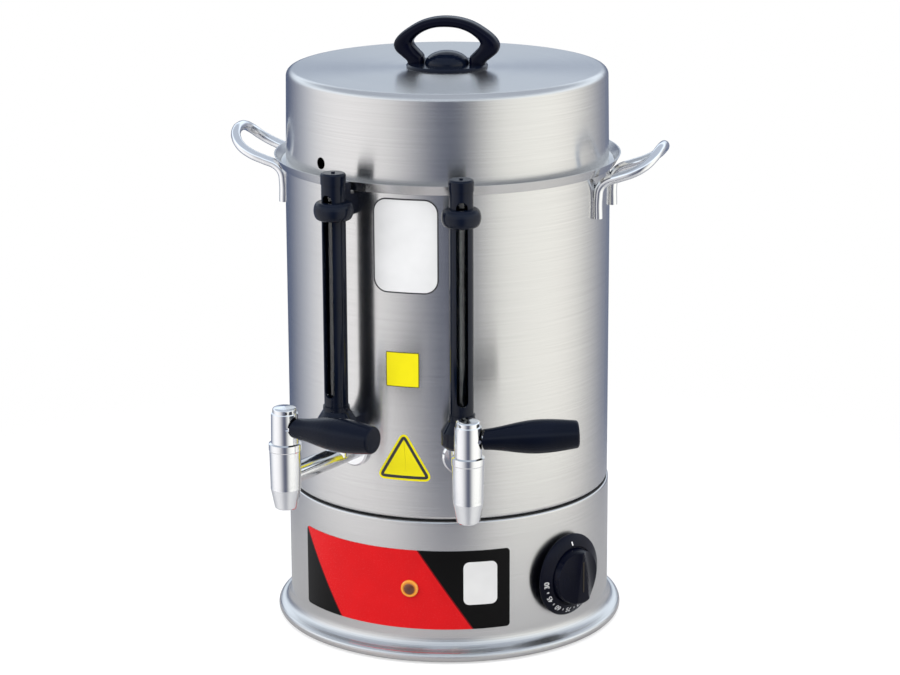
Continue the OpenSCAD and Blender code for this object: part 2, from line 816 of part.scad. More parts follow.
module lid_handle_base() {
    r = disc_d / 2;
    color(BLACK) translate([0, 0, lid_top]) difference() {
        union() {
            revolve([[0, 0], [r, 0], [r, disc_t - 1.2], [r - 1.2, disc_t], [0, disc_t]]);
            revolve(concat([[0, disc_t - over]], [[dome_d / 2, disc_t - over]],
                arc(0, disc_t, dome_d / 2, dome_h, 0, 90)));
        }
        lid_screw_places() translate([0, 0, -over]) cylinder(d = screw_d, h = disc_t + 2 * over);
    }
}

grip_screw_depth = 9;
grip_belly = 16.5;
grip_top_t = 10.2;
module lid_handle() {
    z = lid_top + disc_t;
    outer_h = 2 * (grip_h - grip_belly);
    bore_z = z + grip_h - grip_top_t - finger_h / 2;
    side_t = grip_t / 2;
    side = concat([[-side_t, z], [side_t, z]],
        arc(0, z + grip_h - side_t * 0.9, side_t, side_t * 0.9, 0, 180));
    color(BLACK) rotate([0, 0, grip_turn]) difference() {
        intersection() {
            rotate([90, 0, 0]) translate([0, 0, -grip_t]) linear_extrude(2 * grip_t) difference() {
                polygon(rounded_oval(grip_w, outer_h, z + grip_belly, 2.08));
                polygon(rounded_oval(finger_w, finger_h, bore_z, 2));
                translate([-grip_w, z - grip_w]) square([2 * grip_w, grip_w]);
            }
            rotate([90, 0, 90]) translate([0, 0, -grip_w]) linear_extrude(2 * grip_w) polygon(side);
        }
        translate([0, 0, z - over]) cylinder(d = dome_d, h = dome_h + over);
        for (s = [-1, 1]) translate([s * lid_screw_x, 0, z - over])
            cylinder(d = screw_d, h = grip_screw_depth + over);
    }
}

module lid_screws() {
    color(CHROME) lid_screw_places() translate([0, 0, lid_top - thin_sheet - screw_head_t]) {
        cylinder(d = screw_head_d + 2, h = screw_head_t);
        cylinder(d = screw_d, h = screw_head_t + thin_sheet + disc_t + grip_screw_depth);
    }
}

// Side handles: a bent rod, its legs welded flat on the tank wall

module rod_section(grow = 0) {
    intersection() {
        circle(d = rod_w + 2 * grow);
        square([2 * rod_w, rod_t + 2 * grow], center = true);
    }
}

module side_handle(az) {
    leg_x = leg_gap / 2;
    leg_y = sqrt(tank_r * tank_r - pow(leg_x + rod_w / 2, 2)) + rod_t / 2 - leg_seat;
    bend_z = ledge_z - handle_drop;
    turn = 90 - handle_rise;
    arm_y = leg_y + rod_bend * (1 - cos(turn));
    // rounded, so that the bends and straights meet in the same points
    arm_l = round(100 * ((tank_r + handle_reach - arm_y) / cos(handle_rise) - corner_bend)) / 100;
    color(CHROME) at_az(az) difference() {
        for (s = [-1, 1]) translate([s * leg_x, -leg_y - rod_bend, bend_z]) rotate([90, 0, 90]) {
            translate([rod_bend, 0, 0]) rotate([90, 0, 0]) linear_extrude(leg_l) rotate(90) rod_section();
            // the bend ends a little way inside the arm, which is a hair thicker
            rotate_extrude(angle = turn + bend_overlap) translate([rod_bend, 0]) rotate(90) rod_section();
            rotate(turn) translate([rod_bend, 0, 0]) rotate([0, -90, 0]) {
                rotate([-90, 0, 0]) linear_extrude(arm_l) rod_section(arm_grow);
                translate([-s * corner_bend, arm_l, 0]) {
                    rotate(s > 0 ? 0 : 90) rotate_extrude(angle = 90) translate([corner_bend, 0])
                        rod_section(arm_grow);
                    translate([0, corner_bend, 0]) rotate([0, -s * 90, 0])
                        linear_extrude(leg_x - corner_bend) rotate(90) rod_section(arm_grow);
                }
            }
        }
        wall_cylinder(tank_r);
    }
}

module left_handle() {
    side_handle(-90);
}
module right_handle() {
    side_handle(90);
}

// Taps: each module takes the direction of its tap

module at_tap(az) {
    at_az(az) translate([0, -barrel_r, 0]) children();
}

module tap_body(az) {
    collar_edge = 0.8;
    outside = [[0, seat_z], [housing_d / 2, seat_z], [housing_d / 2 + 0.5, collar_z],
        [collar_d / 2, collar_z + collar_edge], [collar_d / 2, barrel_z - collar_edge],
        [barrel_d / 2 + 0.4, barrel_z], [barrel_d / 2, barrel_top], [0, barrel_top]];
    color(CHROME) at_tap(az) difference() {
        union() {
            revolve(outside);
            translate([0, 0, pipe_z]) rotate([-90, 0, 0]) cylinder(d = pipe_d, h = barrel_r - tail_r);
            translate([0, tap_reach - sight_reach, pipe_z]) cylinder(d = stub_d, h = stub_l);
        }
        translate([0, 0, seat_z - nozzle_l]) cylinder(d = housing_d + 2 * hole_fit, h = nozzle_l);
        translate([0, 0, seat_z - over]) cylinder(d = chamber_d, h = housing_h);
        translate([0, 0, seat_z]) cylinder(d = guide_d, h = barrel_top - seat_z + over);
        translate([0, 0, pipe_z]) rotate([-90, 0, 0]) cylinder(d = pipe_bore_d, h = barrel_r - tail_r + over);
        translate([0, tap_reach - sight_reach, pipe_z]) cylinder(d = glass_d - 2 * glass_t, h = stub_l + over);
        translate([0, -window_w / 2, lever_z - window_h / 2]) cube([barrel_d, window_w, window_h]);
        translate([pin_offset, barrel_d, lever_z]) rotate([90, 0, 0]) cylinder(d = pin_d, h = 2 * barrel_d);
    }
}

module lever_pins() {
    half = sqrt(pow(barrel_d / 2, 2) - pin_offset * pin_offset);
    color(CHROME) for (side = [-1, 1]) at_tap(side * tap_az)
        translate([pin_offset, half, lever_z]) rotate([90, 0, 0]) cylinder(d = pin_d, h = 2 * half);
}

module lock_nut(az) {
    color(CHROME) at_az(az) intersection() {
        difference() {
            outward(tank_in_r - nut_t, pipe_z) cylinder(d = washer_d, h = nut_t + over, $fn = 6);
            outward(tail_r, pipe_z) cylinder(d = pipe_d, h = tank_r - tail_r + over);
        }
        wall_cylinder(tank_in_r);
    }
}

washer_edge = 1.5;
washer_sink = 3;
module tap_washers() {
    r = washer_d / 2;
    top = washer_t + washer_sink;
    color(CHROME) for (side = [-1, 1]) at_az(side * tap_az) difference() {
        outward(tank_r - washer_sink, pipe_z) revolve([[0, 0], [r, 0], [r, top - washer_edge],
            [r - washer_edge, top], [0, top]]);
        wall_cylinder(tank_r);
        outward(tail_r, pipe_z) cylinder(d = pipe_d, h = tap_reach);
    }
}

module nozzle(az) {
    bore = mouth_bore_d / 2;
    lip = 1;
    z = seat_z - nozzle_l;
    color(CHROME) at_tap(az) revolve([[bore, z], [mouth_d / 2 - lip, z], [mouth_d / 2, z + lip],
        [housing_d / 2, seat_z - 2], [housing_d / 2, seat_z], [bore, seat_z]]);
}

cap_hole_count = 4;
cap_hole_d = 2;
module tap_cap(az) {
    r = cap_d / 2;
    bore = guide_d / 2 - 0.9;
    color(CHROME) at_tap(az) translate([0, 0, barrel_top]) difference() {
        revolve(concat([[bore, -spigot_h], [guide_d / 2, -spigot_h], [guide_d / 2, 0], [r, 0]],
            arc(r - 2.5, cap_h - 2.6, 2.5, 1.8, 0, 80, 6),
            [[0, cap_h], [0, cap_h - cap_wall], [bore, cap_h - cap_wall]]));
        for (i = [0:cap_hole_count - 1]) rotate([0, 0, 45 + 360 * i / cap_hole_count])
            translate([0, 0, cap_h / 3]) rotate([90, 0, 0]) cylinder(d = cap_hole_d, h = cap_d);
    }
}

module plunger(az) {
    rod_d = 6;
    disc_z = seat_z + seal_t;
    slot_low = finger_h_half + plunger_lift + move_gap;
    slot_high = finger_h_half + move_gap / 2;
    notch_low = lever_boss_d / 2 + plunger_lift + move_gap;
    color("#cfc9b8") at_tap(az) difference() {
        union() {
            translate([0, 0, disc_z]) cylinder(d = seal_d - 2, h = 2.5);
            translate([0, 0, disc_z]) cylinder(d = rod_d, h = collar_z - disc_z);
            translate([0, 0, collar_z]) cylinder(r = plunger_r, h = plunger_top - collar_z);
        }
        translate([-3, -window_w / 2, lever_z - slot_low])
            cube([guide_d, window_w, slot_low + slot_high]);
        translate([pin_offset - lever_boss_d / 2 - move_gap, -window_w / 2, lever_z - notch_low])
            cube([guide_d, window_w, notch_low + lever_boss_d / 2]);
    }
}

module plunger_seal(az) {
    color("#b8402c") at_tap(az) translate([0, 0, seat_z]) cylinder(d = seal_d, h = seal_t);
}

// A tube swept along a helix, as one closed solid
module helix(r, wire, z0, z1, turns) {
    rings = 8 * turns;
    sides = 6;
    points = [for (i = [0:rings]) for (j = [0:sides - 1])
        let (a = 360 * turns * i / rings, b = 360 * j / sides, d = r + wire / 2 * cos(b))
            [d * cos(a), d * sin(a), z0 + (z1 - z0) * i / rings + wire / 2 * sin(b)]];
    sheath = [for (i = [0:rings - 1]) for (j = [0:sides - 1])
        let (a = i * sides + j, b = i * sides + (j + 1) % sides)
            each [[a, a + sides, b], [b, a + sides, b + sides]]];
    ends = [for (j = [1:sides - 2])
        each [[0, j, j + 1], [rings * sides, rings * sides + j + 1, rings * sides + j]]];
    polyhedron(points, concat(sheath, ends));
}

spring_d = 10;
module spring(az) {
    z0 = plunger_top + spring_wire / 2;
    z1 = spring_top - spring_wire / 2;
    echo(spring_gap = (z1 - z0) / spring_turns - spring_wire);
    color(CHROME) at_tap(az) helix(spring_d / 2, spring_wire, z0, z1, spring_turns);
}

// Turns about the pivot pin by the lever's slope at rest
module at_lever() {
    translate([pin_offset, 0, lever_z]) rotate([0, -lever_rise, 0]) translate([-pin_offset, 0, 0]) children();
}

lever_rod_l = 56;
module lever_arm(az) {
    boss_w = window_w - 2 * move_gap;
    finger_w = boss_w - 1.2;
    flat_w = boss_w - 0.3;
    color(CHROME) at_tap(az) difference() {
        union() {
            translate([0, -finger_w / 2, lever_z - finger_h_half + finger_slim])
                cube([pin_offset, finger_w, 2 * (finger_h_half - finger_slim)]);
            translate([0, finger_w / 2, lever_z]) rotate([90, 0, 0])
                cylinder(r = finger_h_half, h = finger_w);
            translate([pin_offset, boss_w / 2, lever_z]) rotate([90, 0, 0])
                cylinder(d = lever_boss_d, h = boss_w);
            at_lever() difference() {
                translate([pin_offset, 0, 0]) rotate([0, 90, 0]) cylinder(d = lever_rod_d, h = lever_rod_l);
                for (s = [-1, 1]) translate([0, s * (flat_w / 2 + 5), 0])
                    cube([2 * saddle_r, 10, 20], center = true);
            }
        }
        translate([pin_offset, boss_w, lever_z]) rotate([90, 0, 0])
            cylinder(d = pin_d + 2 * run_fit, h = 2 * boss_w);
    }
}

// Radius of the grip at a share of its length
function grip_radius(u) = u < lever_swell
    ? (lever_root_d + (lever_max_d - lever_root_d) * (1 - cos(180 * u / lever_swell)) / 2) / 2
    : (lever_end_d + (lever_max_d - lever_end_d) * cos(90 * (u - lever_swell) / (1 - lever_swell))) / 2;

module lever_grip(az) {
    steps = 18;
    edge = 2.5;
    body = lever_l - edge;
    profile = concat([[0, 0]],
        [for (i = [0:steps]) [grip_radius(i / steps), body * i / steps]],
        arc(lever_end_d / 2 - edge, body, edge, edge, 15, 90, 5), [[0, lever_l]]);
    color(BLACK) at_tap(az) difference() {
        at_lever() translate([lever_start, 0, 0]) rotate([0, 90, 0]) revolve(profile);
        at_lever() translate([pin_offset, 0, 0]) rotate([0, 90, 0]) cylinder(d = lever_rod_d, h = lever_rod_l);
        translate([0, 0, lever_z - 30]) cylinder(r = saddle_r, h = 60);
    }
}

// Sight tubes

module at_sight(az) {
    at_az(az) translate([0, -sight_r, 0]) children();
}

// How far an arm runs into the wall before it is cut to it
wall_bury = 3;
holder_edge = 3;
holder_neck_h = 4;
holder_arm_w = 20;
module sight_holder(az) {
    r = holder_d / 2;
    neck = guard_d / 2 + 1.2;
    bore = glass_d / 2 - glass_t;
    shoulder = stub_top + holder_h / 2;
    color(BLACK) difference() {
        union() {
            at_sight(az) revolve([[0, stub_top], [r - holder_edge, stub_top], [r, stub_top + holder_edge], [r, shoulder],
                [neck + 1, guard_z - holder_neck_h - 1], [neck, guard_z - holder_neck_h], [neck, guard_z], [0, guard_z]]);
            at_sight(az) translate([-holder_arm_w / 2, 0, stub_top + holder_edge - over])
                cube([holder_arm_w, sight_reach + wall_bury, shoulder - stub_top]);
        }
        at_sight(az) translate([0, 0, stub_top - over]) cylinder(r = bore, h = holder_h);
        at_sight(az) translate([0, 0, stub_top + glass_seat]) cylinder(d = glass_d, h = holder_h);
        wall_cylinder(tank_r);
    }
}

module sight_glass(az) {
    z = stub_top + glass_seat;
    h = guard_top + glass_bury - z;
    color("#d8e6ea", 0.5) at_sight(az) translate([0, 0, z]) difference() {
        cylinder(d = glass_d, h = h);
        translate([0, 0, -over]) cylinder(d = glass_d - 2 * glass_t, h = h + 2 * over);
    }
}

module sight_guard(az) {
    r = guard_d / 2;
    low = slot_margin + slot_w / 2;
    high = guard_l - slot_margin - slot_w / 2;
    color(BLACK) at_sight(az) translate([0, 0, guard_z]) difference() {
        cylinder(r = r, h = guard_l);
        translate([0, 0, -over]) cylinder(r = r - guard_t, h = guard_l + 2 * over);
        translate([-slot_w / 2, -r - over, low]) cube([slot_w, r, high - low]);
        for (z = [low, high]) translate([0, -1, z]) rotate([90, 0, 0]) cylinder(d = slot_w, h = r + over);
    }
}

module sight_cap(az) {
    r = guard_d / 2 + 0.5;
    edge = 2;
    nub = 1.6;
    color(BLACK) at_sight(az) translate([0, 0, guard_top]) difference() {
        union() {
            revolve(concat([[0, 0], [r, 0], [r, 1]], arc(r - edge, sight_cap_h - edge, edge, edge, 0, 90, 6),
                [[0, sight_cap_h]]));
            translate([0, 0, sight_cap_h - over]) cylinder(r = nub, h = over + 1);
        }
        translate([0, 0, -over]) cylinder(d = glass_d, h = glass_bury + over);
    }
}

clamp_screw_l = 8;
// Room left for the rim above the clamp's seat on the wall
rim_clear = 2;
module sight_clamp(az) {
    inner = guard_d / 2;
    bulge = 4;
    z = clamp_z;
    middle = z + clamp_h / 2;
    arm_z = z + 1.5;
    color(BLACK) difference() {
        union() {
            at_sight(az) revolve(concat([[inner, z]],
                arc(clamp_d / 2 - bulge, middle, bulge, clamp_h / 2, -90, 90, 12), [[inner, z + clamp_h]]));
            at_sight(az) translate([-clamp_arm_w / 2, 0, arm_z])
                cube([clamp_arm_w, sight_reach + wall_bury, guard_top - arm_z]);
        }
        at_sight(az) translate([0, 0, z - over]) cylinder(r = inner, h = guard_top - z + 2 * over);
        wall_cylinder(tank_r);
        translate([0, 0, ledge_z - rim_clear]) cylinder(r = rim_r + 0.8, h = guard_over + 2 * rim_clear);
        at_az(az) outward(tank_r - over, middle) cylinder(d = screw_d, h = clamp_screw_l + 3 * over);
    }
}

module clamp_screws() {
    z = clamp_z + clamp_h / 2;
    color(CHROME) for (side = [-1, 1]) at_az(side * tap_az) {
        intersection() {
            outward(tank_in_r - screw_head_t, z) cylinder(d = screw_head_d, h = screw_head_t + over);
            wall_cylinder(tank_in_r);
        }
        outward(tank_in_r - over, z) cylinder(d = screw_d, h = sheet + over + clamp_screw_l);
    }
}

base_shell();
base_plate();
base_feet();
base_plate_screws();
seam_ring();
cable_gland();
terminal_block();
tank();
brew_pot();
brew_pot_floor();
brew_pot_flange();
tea_down_pipe();
heating_element();
heater_nuts();
thermostat_body();
thermostat_bulb();
limit_cutout();
pilot_lamp_body();
pilot_lamp_lens();
control_label();
left_handle();
right_handle();
tap_washers();
clamp_screws();
lever_pins();
lid();
lid_top_disc();
lid_handle();
lid_handle_base();
lid_screws();
strainer();
strainer_floor();
strainer_bail();
knob();
knob_shaft();
for (i = [0:1]) {
    side = SIDES[i];
    az = (2 * i - 1) * tap_az;
    tap_body(az);
    lock_nut(az);
    nozzle(az);
    tap_cap(az);
    plunger(az);
    plunger_seal(az);
    spring(az);
    lever_arm(az);
    lever_grip(az);
    sight_holder(az);
    sight_glass(az);
    sight_guard(az);
    sight_cap(az);
    sight_clamp(az);
}
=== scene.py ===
import bpy
import math
from mathutils import Matrix, Vector


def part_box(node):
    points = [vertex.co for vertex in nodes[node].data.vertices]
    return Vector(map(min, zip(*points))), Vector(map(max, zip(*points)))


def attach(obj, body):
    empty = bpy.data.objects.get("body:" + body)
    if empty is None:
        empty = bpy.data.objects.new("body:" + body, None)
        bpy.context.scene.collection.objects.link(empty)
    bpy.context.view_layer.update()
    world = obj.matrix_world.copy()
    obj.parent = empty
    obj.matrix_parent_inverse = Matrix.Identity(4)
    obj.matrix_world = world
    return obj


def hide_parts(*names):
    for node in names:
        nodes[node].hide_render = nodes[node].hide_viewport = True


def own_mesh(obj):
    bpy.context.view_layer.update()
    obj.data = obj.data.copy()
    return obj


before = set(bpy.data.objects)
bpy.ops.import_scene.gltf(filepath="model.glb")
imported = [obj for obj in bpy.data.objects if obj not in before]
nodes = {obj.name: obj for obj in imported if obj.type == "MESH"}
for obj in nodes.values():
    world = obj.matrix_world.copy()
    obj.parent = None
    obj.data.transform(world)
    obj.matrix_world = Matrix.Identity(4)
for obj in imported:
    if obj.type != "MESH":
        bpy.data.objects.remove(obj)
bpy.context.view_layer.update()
bpy.ops.object.select_all(action="DESELECT")

# Studio: a white room with two soft boxes at the sides and one overhead.
# The camera stands a little to the right of the urn's front and looks down on it.
scene = bpy.context.scene
scene.view_settings.view_transform = "Standard"


def facing(place, aim):
    return (Vector(aim) - Vector(place)).to_track_quat("-Z", "Y").to_euler()


camera_place = Vector((0.6476, -2.3753, 0.908))
camera_aim = Vector((0.0, 0.0, 0.247))
camera_roll = math.radians(-0.25)
camera_data = bpy.data.cameras.new("photo_camera")
camera_data.lens = 116.3
camera_data.sensor_width = 36.0
camera_data.shift_x = 0.0019
camera = bpy.data.objects.new("photo_camera", camera_data)
camera.location = camera_place
camera.rotation_euler = facing(camera_place, camera_aim)
camera.rotation_euler.rotate_axis("Z", camera_roll)
scene.collection.objects.link(camera)
scene.camera = camera


def feed(node, feeds):
    """Sets the node's sockets to plain values, or wires outputs to them."""
    for entry, value in feeds.items():
        if isinstance(value, bpy.types.NodeSocket):
            node.id_data.links.new(value, node.inputs[entry])
        else:
            node.inputs[entry].default_value = value


def add_node(tree, kind, feeds=None, **settings):
    node = tree.nodes.new("ShaderNode" + kind)
    for name, value in settings.items():
        setattr(node, name, value)
    feed(node, feeds or {})
    return node


def maths(tree, operation, *values):
    return add_node(tree, "Math", dict(enumerate(values)), operation=operation).outputs[0]


def ramp(tree, value, stops, smooth="LINEAR"):
    node = add_node(tree, "ValToRGB", {"Fac": value})
    node.color_ramp.interpolation = smooth
    while len(node.color_ramp.elements) < len(stops):
        node.color_ramp.elements.new(0.5)
    for element, (place, shade) in zip(node.color_ramp.elements, stops):
        element.position = place
        element.color = (*shade, 1.0)
    return node.outputs["Color"]


def seen_direct(tree):
    """1 where the camera looks straight at a surface or through glass, and otherwise 0."""
    rays = add_node(tree, "LightPath")
    return maths(tree, "MAXIMUM", rays.outputs["Is Camera Ray"],
                 rays.outputs["Is Transmission Ray"])


world = bpy.data.worlds.new("studio")
scene.world = world
world.use_nodes = True
room = world.node_tree
room.nodes.clear()
towards = add_node(room, "TexCoord").outputs["Generated"]
front = Vector((camera_place.x, camera_place.y, 0.0)).normalized()
ahead, aside = [
    add_node(room, "VectorMath", {0: towards, 1: way}, operation="DOT_PRODUCT").outputs["Value"]
    for way in (front, Vector((-front.y, front.x, 0.0)))]
turn_round = maths(room, "MULTIPLY_ADD", maths(room, "ARCTAN2", aside, ahead), 0.5 / math.pi, 0.5)
walls = ramp(room, turn_round, [
    (0.00, (0.10, 0.13, 0.21)), (0.08, (0.04, 0.06, 0.13)), (0.16, (0.46, 0.49, 0.56)),
    (0.22, (0.84, 0.84, 0.86)), (0.29, (0.95, 0.94, 0.95)), (0.37, (0.82, 0.81, 0.82)),
    (0.42, (0.54, 0.54, 0.56)), (0.475, (0.09, 0.10, 0.15)), (0.53, (0.05, 0.06, 0.10)),
    (0.575, (0.64, 0.64, 0.63)), (0.62, (0.90, 0.90, 0.86)), (0.70, (1.0, 1.0, 0.95)),
    (0.76, (0.94, 0.93, 0.89)), (0.82, (0.64, 0.64, 0.63)), (0.90, (0.18, 0.20, 0.27)),
    (1.00, (0.10, 0.13, 0.21))], "B_SPLINE")
height = add_node(room, "SeparateXYZ", {0: towards}).outputs["Z"]
overhead = add_node(room, "MapRange", {"Value": height, "From Min": 0.05, "From Max": 0.45},
                    interpolation_type="SMOOTHSTEP")
top_light = ramp(room, height, [(0.26, (1.16, 1.29, 1.42)), (0.62, (0.44, 0.49, 0.57))])
ceiling = add_node(room, "Mix", {"Factor": overhead.outputs["Result"], "A": walls, "B": top_light},
                   data_type="RGBA")
reflected = add_node(room, "Background", {"Color": ceiling.outputs["Result"], "Strength": 1.28})
ambient = add_node(room, "Background", {"Color": (0.97, 0.98, 1.0, 1.0), "Strength": 0.68})
backdrop = add_node(room, "Background", {"Color": (1.0, 1.0, 1.0, 1.0)})
mirrored = add_node(room, "LightPath").outputs["Is Glossy Ray"]
unseen = add_node(room, "MixShader",
                  {"Fac": mirrored, 1: ambient.outputs[0], 2: reflected.outputs[0]})
white_room = add_node(room, "MixShader",
                      {"Fac": seen_direct(room), 1: unseen.outputs[0], 2: backdrop.outputs[0]})
add_node(room, "OutputWorld", {"Surface": white_room.outputs[0]})

lamp_aim = (0.0, 0.0, 0.25)
for name, place, size, power in (
        ("soft_box_left", (-2.1, -1.6, 1.25), (1.3, 1.9), 42.0),
        ("soft_box_right", (2.45, -0.35, 1.15), (1.1, 1.9), 26.0),
        ("soft_box_top", (0.3, -1.3, 2.5), (1.8, 1.4), 38.0)):
    lamp = bpy.data.lights.new(name, "AREA")
    lamp.shape = "RECTANGLE"
    lamp.size, lamp.size_y = size
    lamp.energy = power
    holder = bpy.data.objects.new(name, lamp)
    holder.location = place
    holder.rotation_euler = facing(place, lamp_aim)
    holder.visible_glossy = False
    scene.collection.objects.link(holder)


def new_material(name):
    made = bpy.data.materials.new(name)
    made.use_nodes = True
    tree = made.node_tree
    tree.nodes.clear()
    shader = add_node(tree, "BsdfPrincipled")
    add_node(tree, "OutputMaterial", {"Surface": shader.outputs[0]})
    return made, tree, shader, add_node(tree, "TexCoord").outputs["Object"]


floor_wide, floor_drop, floor_glow = 4.0, 0.0002, 0.6
bpy.ops.mesh.primitive_plane_add(size=floor_wide, location=(0.0, 0.0, -floor_drop))
floor = bpy.context.object
floor.name = "studio_floor"
floor_paint, tree, shader, place = new_material("floor_paint")
feed(shader, {
    "Base Color": (0.5, 0.5, 0.51, 1.0), "Roughness": 0.9, "Specular IOR Level": 0.1,
    "Emission Color": (1.0, 1.0, 1.0, 1.0),
    "Emission Strength": maths(tree, "MULTIPLY", seen_direct(tree), floor_glow)})
from_urn = add_node(tree, "VectorMath", {0: place}, operation="LENGTH").outputs["Value"]
fading = add_node(tree, "MapRange", {"Value": from_urn, "From Min": 0.2, "From Max": 0.75},
                  interpolation_type="SMOOTHSTEP")
open_air = add_node(tree, "BsdfTransparent")
ground = add_node(tree, "MixShader", {
    "Fac": fading.outputs["Result"], 1: shader.outputs[0], 2: open_air.outputs[0]})
feed(tree.nodes["Material Output"], {"Surface": ground.outputs[0]})
floor.data.materials.append(floor_paint)
bpy.ops.object.select_all(action="DESELECT")


# Base shell: drawn from stainless sheet with a flared foot and a rolled lip, and brushed round
# and round. The base plate closes it from below with screws, on five rubber feet, and the mains
# cable enters by a gland.
def noise(tree, vector, scale, detail=2.0):
    feeds = {"Vector": vector, "Scale": scale, "Detail": detail}
    return add_node(tree, "TexNoise", feeds).outputs["Fac"]


def spread(tree, value, low, high, start=0.0, end=1.0):
    """Stretches a value that runs from start to end, so that it runs from low to high."""
    feeds = {"Value": value, "From Min": start, "From Max": end, "To Min": low, "To Max": high}
    return add_node(tree, "MapRange", feeds).outputs["Result"]


def bump(tree, height, strength, distance=0.0002):
    feeds = {"Height": height, "Strength": strength, "Distance": distance}
    return add_node(tree, "Bump", feeds).outputs["Normal"]


def tinted(tint, share):
    return tuple(share * part for part in tint)


def brushed_steel(name, tint, rough, anisotropy):
    made, tree, shader, place = new_material(name)
    across_scale, along_scale = 2000.0, 9.0
    smear_share, scratch_share = 0.55, 0.45
    split = add_node(tree, "SeparateXYZ", {0: place})
    x, y, z = (split.outputs[i] for i in range(3))
    squared = maths(tree, "ADD", maths(tree, "MULTIPLY", x, x), maths(tree, "MULTIPLY", y, y))
    down_and_in = maths(tree, "ADD", maths(tree, "SQRT", squared), z)
    line = add_node(tree, "CombineXYZ", {
        0: maths(tree, "MULTIPLY", x, along_scale), 1: maths(tree, "MULTIPLY", y, along_scale),
        2: maths(tree, "MULTIPLY", down_and_in, across_scale)})
    scratches = noise(tree, line.outputs[0], scale=1.0, detail=3.0)
    smears = noise(tree, place, scale=11.0)
    mixed = maths(tree, "MULTIPLY_ADD", smears, smear_share,
                  maths(tree, "MULTIPLY", scratches, scratch_share))
    feed(shader, {
        "Base Color": ramp(tree, scratches, [(0.3, tinted(tint, 0.93)), (0.7, tinted(tint, 1.02))]),
        "Metallic": 1.0,
        "Roughness": spread(tree, mixed, rough - 0.03, rough + 0.03, start=0.3, end=0.7),
        "Anisotropic": anisotropy, "Anisotropic Rotation": 0.25,
        "Tangent": add_node(tree, "Tangent", direction_type="RADIAL", axis="Z").outputs[0],
        "Normal": bump(tree, scratches, strength=0.012)})
    return made


def moulded_plastic(name, tint, rough, fleck, pore, shine=0.5):
    made, tree, shader, place = new_material(name)
    patches = noise(tree, place, scale=24.0)
    feed(shader, {
        "Base Color": ramp(tree, patches, [(0.3, tint), (0.7, tinted(tint, 1.0 + fleck))]),
        "Roughness": spread(tree, patches, rough - 0.05, rough + 0.07),
        "Specular IOR Level": shine,
        "Normal": bump(tree, noise(tree, place, scale=420.0), strength=pore)})
    return made


def finish_nodes(made, *names):
    for name in names:
        for held in nodes[name].material_slots:
            held.material = made


steel = brushed_steel("brushed_steel", (0.672, 0.664, 0.654), rough=0.24, anisotropy=0.8)
zinc = brushed_steel("zinc_plate", (0.62, 0.63, 0.64), rough=0.34, anisotropy=0.0)
rubber = moulded_plastic("black_rubber", (0.012, 0.012, 0.013), rough=0.62, fleck=0.4, pore=0.12)
black_plastic = moulded_plastic("black_plastic", (0.0020, 0.0036, 0.0094), rough=0.14, fleck=0.6,
                                pore=0.02, shine=0.21)
finish_nodes(steel, "base_shell", "base_plate")
finish_nodes(rubber, "base_feet", "seam_ring")
finish_nodes(black_plastic, "cable_gland")
finish_nodes(zinc, "base_plate_screws")


# Base shoulder: the top edge of the stainless shell is rolled over into a thin bead.
# The seam ring lies behind it, so that only a dark line shows between base and tank.
def add_piece(name, data):
    piece = bpy.data.objects.new(name, data)
    scene.collection.objects.link(piece)
    piece.select_set(True)
    bpy.context.view_layer.objects.active = piece
    return piece


def shape_all(step, **settings):
    """Runs one mesh operator on the whole of the piece in hand."""
    bpy.ops.object.mode_set(mode="EDIT")
    bpy.ops.mesh.select_all(action="SELECT")
    step(**settings)
    bpy.ops.object.mode_set(mode="OBJECT")


def leave_smooth(degrees):
    """Shades the piece in hand smooth up to an angle, and lets go of it."""
    bpy.ops.object.shade_smooth_by_angle(angle=math.radians(degrees))
    bpy.ops.object.select_all(action="DESELECT")


def spun_piece(name, line, steps, closed):
    """Spins a line of radius and height once round the upright axis."""
    edges = len(line) if closed else len(line) - 1
    outline = bpy.data.meshes.new(name)
    outline.from_pydata([(radius, 0.0, height) for radius, height in line],
                        [(i, (i + 1) % len(line)) for i in range(edges)], [])
    piece = add_piece(name, outline)
    shape_all(bpy.ops.mesh.spin, steps=steps, angle=2.0 * math.pi, center=(0.0, 0.0, 0.0),
              axis=(0.0, 0.0, 1.0))
    shape_all(bpy.ops.mesh.remove_doubles, threshold=0.00002)
    shape_all(bpy.ops.mesh.normals_make_consistent, inside=False)
    return piece


shoulder_line = [
    (0.1388, 0.1229), (0.1391, 0.12355), (0.1396, 0.12380), (0.1401, 0.12376), (0.14058, 0.12348),
    (0.14088, 0.12300), (0.14101, 0.12245), (0.14103, 0.1219), (0.1403, 0.1219)]
shoulder_bead = spun_piece("shoulder_bead", shoulder_line, steps=240, closed=True)
leave_smooth(40.0)
shoulder_bead.data.materials.append(steel)
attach(shoulder_bead, "urn")

# Inside of the base: thermostat, limit cut-out, terminal block and lamp holder.
# They are bought-in pieces of pale moulded plastic with plated metal, and the thermostat's bulb
# and capillary are copper.
pale_plastic = moulded_plastic("pale_plastic", (0.62, 0.59, 0.50), rough=0.45, fleck=0.1, pore=0.05)
copper = brushed_steel("copper_capillary", (0.71, 0.45, 0.32), rough=0.3, anisotropy=0.0)
finish_nodes(pale_plastic, "terminal_block", "limit_cutout", "pilot_lamp_body")
finish_nodes(zinc, "thermostat_body", "knob_shaft")
finish_nodes(copper, "thermostat_bulb")

